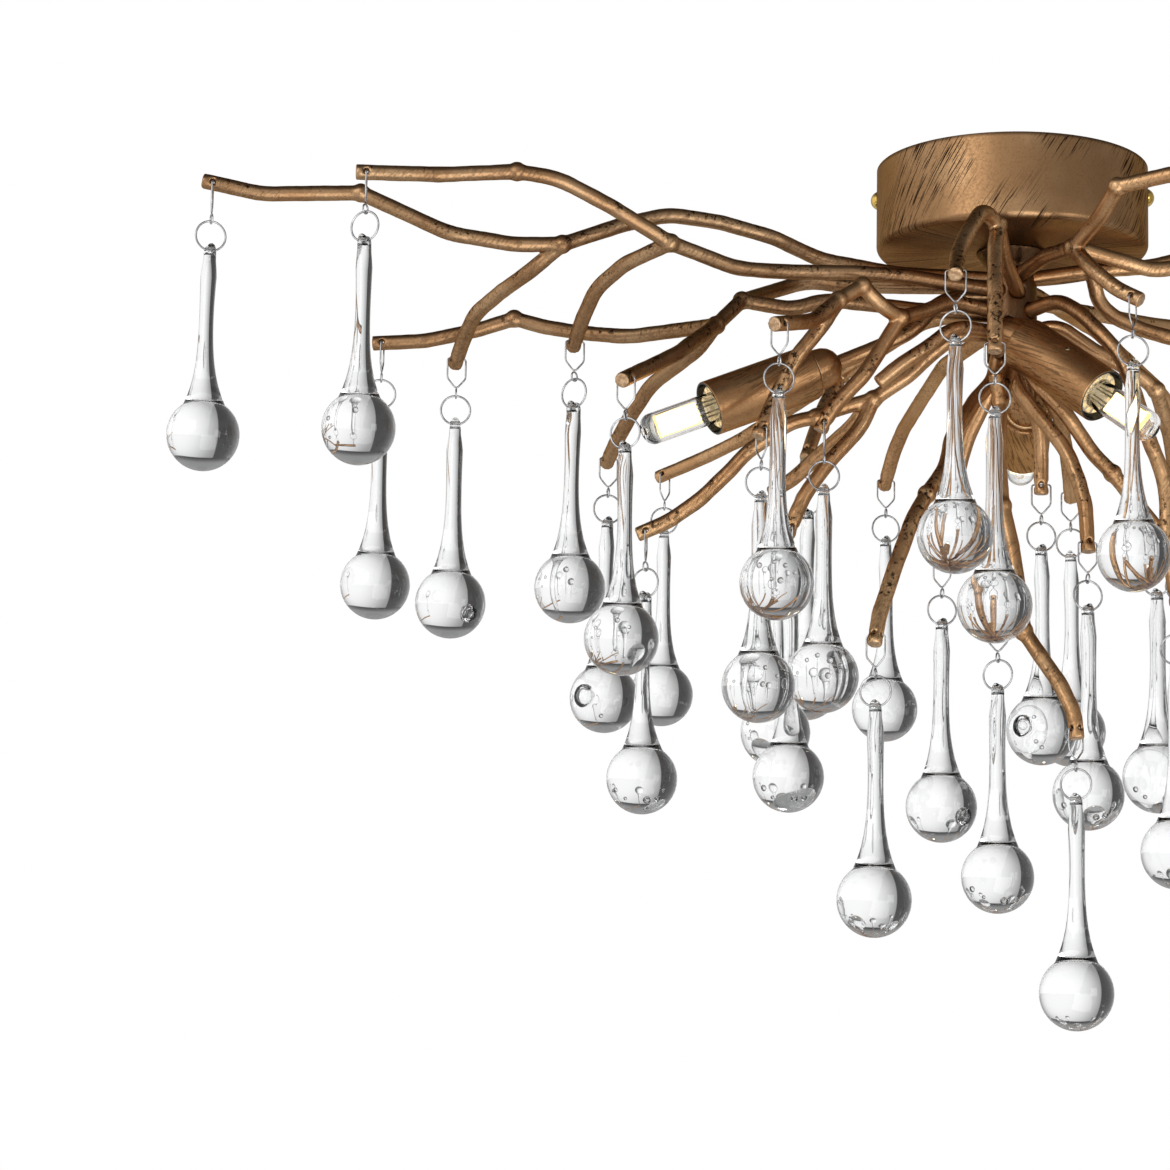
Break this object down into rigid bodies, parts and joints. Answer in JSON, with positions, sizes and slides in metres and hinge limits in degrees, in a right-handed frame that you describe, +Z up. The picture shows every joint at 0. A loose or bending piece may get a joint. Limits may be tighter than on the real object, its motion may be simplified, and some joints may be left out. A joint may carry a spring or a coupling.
{
  "type": "ceiling light",
  "caption": "Flush ceiling light: bent metal branches spread from a hub under a round canopy, with clear glass drops hanging on rings and small capsule lamps in metal cups.",
  "frame": {"origin": "centre of the ceiling plane, midway between the two ceiling screw holes", "axes": "+Z up into the ceiling, -Y towards the front of the pictured side, +X to its right"},
  "size_m": [0.6671, 0.4652, 0.3857],
  "materials": {
    "antique_gold": "antique gold with dark specks, satin",
    "brushed_gold": "antique gold, brushed and scratched, satin",
    "dark_gold": "dark antique gold, satin",
    "bracket_steel": "zinc plated",
    "polished_brass": "polished",
    "hanger_wire": "bright wire",
    "clear_glass": "clear, with small bubbles",
    "bulb_glass": "clear",
    "bulb_core": "warm yellow",
    "ceramic": "glazed ivory",
    "wire_insulation": "matte white",
    "block_plastic": "matte ivory"
  },
  "bodies": {
    "fixture": {"ceiling_bracket": "bracket_steel", "canopy": "brushed_gold", "canopy_screws": "polished_brass", "center_nipple": "bracket_steel", "nipple_nut_and_washer": "bracket_steel", "terminal_block": "block_plastic", "lamp_wires": "wire_insulation", "hub": "dark_gold", "upper_left_branches": "antique_gold", "forked_left_branch": "antique_gold", "front_branches": "antique_gold", "low_left_branches": "antique_gold", "low_center_branches": "antique_gold", "right_branches": "antique_gold", "back_branches": "antique_gold", "lamp_arms": "antique_gold", "lamp_cups": "brushed_gold", "lamp_sockets": "ceramic", "lamp_bulbs": "bulb_glass", "bulb_cores": "bulb_core", "wire_clips": "hanger_wire", "drop_rings": "hanger_wire"},
    "glass_drop_01": {"glass_drop_01": "clear_glass"},
    "glass_drop_02": {"glass_drop_02": "clear_glass"},
    "glass_drop_03": {"glass_drop_03": "clear_glass"},
    "glass_drop_04": {"glass_drop_04": "clear_glass"},
    "glass_drop_05": {"glass_drop_05": "clear_glass"},
    "glass_drop_06": {"glass_drop_06": "clear_glass"},
    "glass_drop_07": {"glass_drop_07": "clear_glass"},
    "glass_drop_08": {"glass_drop_08": "clear_glass"},
    "glass_drop_09": {"glass_drop_09": "clear_glass"},
    "glass_drop_10": {"glass_drop_10": "clear_glass"},
    "glass_drop_11": {"glass_drop_11": "clear_glass"},
    "glass_drop_12": {"glass_drop_12": "clear_glass"},
    "glass_drop_13": {"glass_drop_13": "clear_glass"},
    "glass_drop_14": {"glass_drop_14": "clear_glass"},
    "glass_drop_15": {"glass_drop_15": "clear_glass"},
    "glass_drop_16": {"glass_drop_16": "clear_glass"},
    "glass_drop_17": {"glass_drop_17": "clear_glass"},
    "glass_drop_18": {"glass_drop_18": "clear_glass"},
    "glass_drop_19": {"glass_drop_19": "clear_glass"},
    "glass_drop_20": {"glass_drop_20": "clear_glass"},
    "glass_drop_21": {"glass_drop_21": "clear_glass"},
    "glass_drop_22": {"glass_drop_22": "clear_glass"},
    "glass_drop_23": {"glass_drop_23": "clear_glass"},
    "glass_drop_24": {"glass_drop_24": "clear_glass"},
    "glass_drop_25": {"glass_drop_25": "clear_glass"},
    "glass_drop_26": {"glass_drop_26": "clear_glass"},
    "glass_drop_27": {"glass_drop_27": "clear_glass"},
    "glass_drop_28": {"glass_drop_28": "clear_glass"},
    "glass_drop_29": {"glass_drop_29": "clear_glass"},
    "glass_drop_30": {"glass_drop_30": "clear_glass"},
    "glass_drop_31": {"glass_drop_31": "clear_glass"},
    "glass_drop_32": {"glass_drop_32": "clear_glass"},
    "glass_drop_33": {"glass_drop_33": "clear_glass"},
    "glass_drop_34": {"glass_drop_34": "clear_glass"},
    "glass_drop_35": {"glass_drop_35": "clear_glass"},
    "glass_drop_36": {"glass_drop_36": "clear_glass"},
    "glass_drop_37": {"glass_drop_37": "clear_glass"},
    "glass_drop_38": {"glass_drop_38": "clear_glass"}
  },
  "joints": [
    {"name": "glass_drop_01_swing", "type": "hinge", "parent": "fixture", "child": "glass_drop_01", "pos_m": [-0.34064, -0.0993, -0.06152], "axis": [0.9063, 0.4226, 0], "range_deg": [-25, 25]},
    {"name": "glass_drop_02_swing", "type": "hinge", "parent": "fixture", "child": "glass_drop_02", "pos_m": [-0.27054, -0.11936, -0.06365], "axis": [0.9397, -0.342, 0], "range_deg": [-25, 25]},
    {"name": "glass_drop_03_swing", "type": "hinge", "parent": "fixture", "child": "glass_drop_03", "pos_m": [-0.2815, 0, -0.10746], "axis": [0.9659, 0.2588, 0], "range_deg": [-25, 25]},
    {"name": "glass_drop_04_swing", "type": "hinge", "parent": "fixture", "child": "glass_drop_04", "pos_m": [-0.24547, -0.01356, -0.11836], "axis": [0.9848, 0.1736, 0], "range_deg": [-24, 25]},
    {"name": "glass_drop_05_swing", "type": "hinge", "parent": "fixture", "child": "glass_drop_05", "pos_m": [-0.19158, -0.02355, -0.11328], "axis": [0.866, -0.5, 0], "range_deg": [-25, 13]},
    {"name": "glass_drop_06_swing", "type": "hinge", "parent": "fixture", "child": "glass_drop_06", "pos_m": [-0.18247, 0.04117, -0.15186], "axis": [0.9397, 0.342, 0], "range_deg": [-17, 25]},
    {"name": "glass_drop_07_swing", "type": "hinge", "parent": "fixture", "child": "glass_drop_07", "pos_m": [-0.16039, -0.10424, -0.14977], "axis": [0.9659, -0.2588, 0], "range_deg": [-25, 25]},
    {"name": "glass_drop_08_swing", "type": "hinge", "parent": "fixture", "child": "glass_drop_08", "pos_m": [-0.17117, 0.20092, -0.12453], "axis": [0.9848, 0.1736, 0], "range_deg": [-25, 25]},
    {"name": "glass_drop_09_swing", "type": "hinge", "parent": "fixture", "child": "glass_drop_09", "pos_m": [-0.16086, 0, -0.19388], "axis": [0.9063, -0.4226, 0], "range_deg": [-25, 25]},
    {"name": "glass_drop_10_swing", "type": "hinge", "parent": "fixture", "child": "glass_drop_10", "pos_m": [-0.10542, -0.07387, -0.16459], "axis": [0.9659, 0.2588, 0], "range_deg": [-7, 7]},
    {"name": "glass_drop_11_swing", "type": "hinge", "parent": "fixture", "child": "glass_drop_11", "pos_m": [-0.10433, 0.02833, -0.16865], "axis": [0.9848, -0.1736, 0], "range_deg": [-9, 25]},
    {"name": "glass_drop_12_swing", "type": "hinge", "parent": "fixture", "child": "glass_drop_12", "pos_m": [-0.09672, -0.09929, -0.12551], "axis": [0.9397, 0.342, 0], "range_deg": [-25, 3]},
    {"name": "glass_drop_13_swing", "type": "hinge", "parent": "fixture", "child": "glass_drop_13", "pos_m": [-0.09647, -0.00562, -0.19344], "axis": [0.866, 0.5, 0], "range_deg": [-23, 9]},
    {"name": "glass_drop_14_swing", "type": "hinge", "parent": "fixture", "child": "glass_drop_14", "pos_m": [-0.09398, 0.0869, -0.1387], "axis": [0.9397, -0.342, 0], "range_deg": [-25, 25]},
    {"name": "glass_drop_15_swing", "type": "hinge", "parent": "fixture", "child": "glass_drop_15", "pos_m": [-0.07999, -0.05, -0.15662], "axis": [0.9848, 0.1736, 0], "range_deg": [-5, 19]},
    {"name": "glass_drop_16_swing", "type": "hinge", "parent": "fixture", "child": "glass_drop_16", "pos_m": [-0.05994, 0.1468, -0.13967], "axis": [0.9659, 0.2588, 0], "range_deg": [-25, 25]},
    {"name": "glass_drop_17_swing", "type": "hinge", "parent": "fixture", "child": "glass_drop_17", "pos_m": [-0.0564, -0.0785, -0.25445], "axis": [0.9848, -0.1736, 0], "range_deg": [-25, 25]},
    {"name": "glass_drop_18_swing", "type": "hinge", "parent": "fixture", "child": "glass_drop_18", "pos_m": [-0.03053, 0.00894, -0.20427], "axis": [0.9397, 0.342, 0], "range_deg": [-15, 25]},
    {"name": "glass_drop_19_swing", "type": "hinge", "parent": "fixture", "child": "glass_drop_19", "pos_m": [-0.02279, -0.13462, -0.11269], "axis": [0.9659, -0.2588, 0], "range_deg": [-25, 5]},
    {"name": "glass_drop_20_swing", "type": "hinge", "parent": "fixture", "child": "glass_drop_20", "pos_m": [-0.007, -0.10691, -0.13628], "axis": [0.9848, 0.1736, 0], "range_deg": [-9, 25]},
    {"name": "glass_drop_21_swing", "type": "hinge", "parent": "fixture", "child": "glass_drop_21", "pos_m": [-0.006, -0.02334, -0.23836], "axis": [0.9397, -0.342, 0], "range_deg": [-25, 25]},
    {"name": "glass_drop_22_swing", "type": "hinge", "parent": "fixture", "child": "glass_drop_22", "pos_m": [0.013, 0.02957, -0.16717], "axis": [0.9659, 0.2588, 0], "range_deg": [-13, 9]},
    {"name": "glass_drop_23_swing", "type": "hinge", "parent": "fixture", "child": "glass_drop_23", "pos_m": [0.02665, 0.0715, -0.16185], "axis": [0.9848, -0.1736, 0], "range_deg": [-7, 25]},
    {"name": "glass_drop_24_swing", "type": "hinge", "parent": "fixture", "child": "glass_drop_24", "pos_m": [0.03279, -0.00436, -0.2002], "axis": [0.9397, 0.342, 0], "range_deg": [-25, 17]},
    {"name": "glass_drop_25_swing", "type": "hinge", "parent": "fixture", "child": "glass_drop_25", "pos_m": [0.02659, -0.05759, -0.29019], "axis": [0.9659, -0.2588, 0], "range_deg": [-25, 25]},
    {"name": "glass_drop_26_swing", "type": "hinge", "parent": "fixture", "child": "glass_drop_26", "pos_m": [0.05035, -0.08254, -0.11046], "axis": [0.9848, 0.1736, 0], "range_deg": [-25, 17]},
    {"name": "glass_drop_27_swing", "type": "hinge", "parent": "fixture", "child": "glass_drop_27", "pos_m": [0.06321, 0.01273, -0.19035], "axis": [0.9397, -0.342, 0], "range_deg": [-3, 5]},
    {"name": "glass_drop_28_swing", "type": "hinge", "parent": "fixture", "child": "glass_drop_28", "pos_m": [0.0748, 0.0516, -0.18585], "axis": [0.9659, 0.2588, 0], "range_deg": [-5, 25]},
    {"name": "glass_drop_29_swing", "type": "hinge", "parent": "fixture", "child": "glass_drop_29", "pos_m": [0.06944, -0.03, -0.22818], "axis": [0.9848, -0.1736, 0], "range_deg": [-25, 24]},
    {"name": "glass_drop_30_swing", "type": "hinge", "parent": "fixture", "child": "glass_drop_30", "pos_m": [0.25393, -0.20311, -0.06303], "axis": [0.9397, 0.342, 0], "range_deg": [-25, 25]},
    {"name": "glass_drop_31_swing", "type": "hinge", "parent": "fixture", "child": "glass_drop_31", "pos_m": [0.20315, -0.15067, -0.11861], "axis": [0.9659, -0.2588, 0], "range_deg": [-25, 25]},
    {"name": "glass_drop_32_swing", "type": "hinge", "parent": "fixture", "child": "glass_drop_32", "pos_m": [0.24568, -0.07375, -0.07884], "axis": [0.9848, 0.1736, 0], "range_deg": [-25, 25]},
    {"name": "glass_drop_33_swing", "type": "hinge", "parent": "fixture", "child": "glass_drop_33", "pos_m": [0.29552, 0.01013, -0.06503], "axis": [0.9397, -0.342, 0], "range_deg": [-25, 25]},
    {"name": "glass_drop_34_swing", "type": "hinge", "parent": "fixture", "child": "glass_drop_34", "pos_m": [0.21174, 0.04439, -0.11911], "axis": [0.9659, 0.2588, 0], "range_deg": [-25, 25]},
    {"name": "glass_drop_35_swing", "type": "hinge", "parent": "fixture", "child": "glass_drop_35", "pos_m": [0.18615, 0.01471, -0.13634], "axis": [0.9848, -0.1736, 0], "range_deg": [-25, 9]},
    {"name": "glass_drop_36_swing", "type": "hinge", "parent": "fixture", "child": "glass_drop_36", "pos_m": [0.18662, 0.20704, -0.0759], "axis": [0.9397, 0.342, 0], "range_deg": [-25, 25]},
    {"name": "glass_drop_37_swing", "type": "hinge", "parent": "fixture", "child": "glass_drop_37", "pos_m": [0.14751, 0.13021, -0.12291], "axis": [0.9659, -0.2588, 0], "range_deg": [-25, 25]},
    {"name": "glass_drop_38_swing", "type": "hinge", "parent": "fixture", "child": "glass_drop_38", "pos_m": [0.09323, 0.23111, -0.10524], "axis": [0.9848, 0.1736, 0], "range_deg": [-25, 25]}
  ]
}
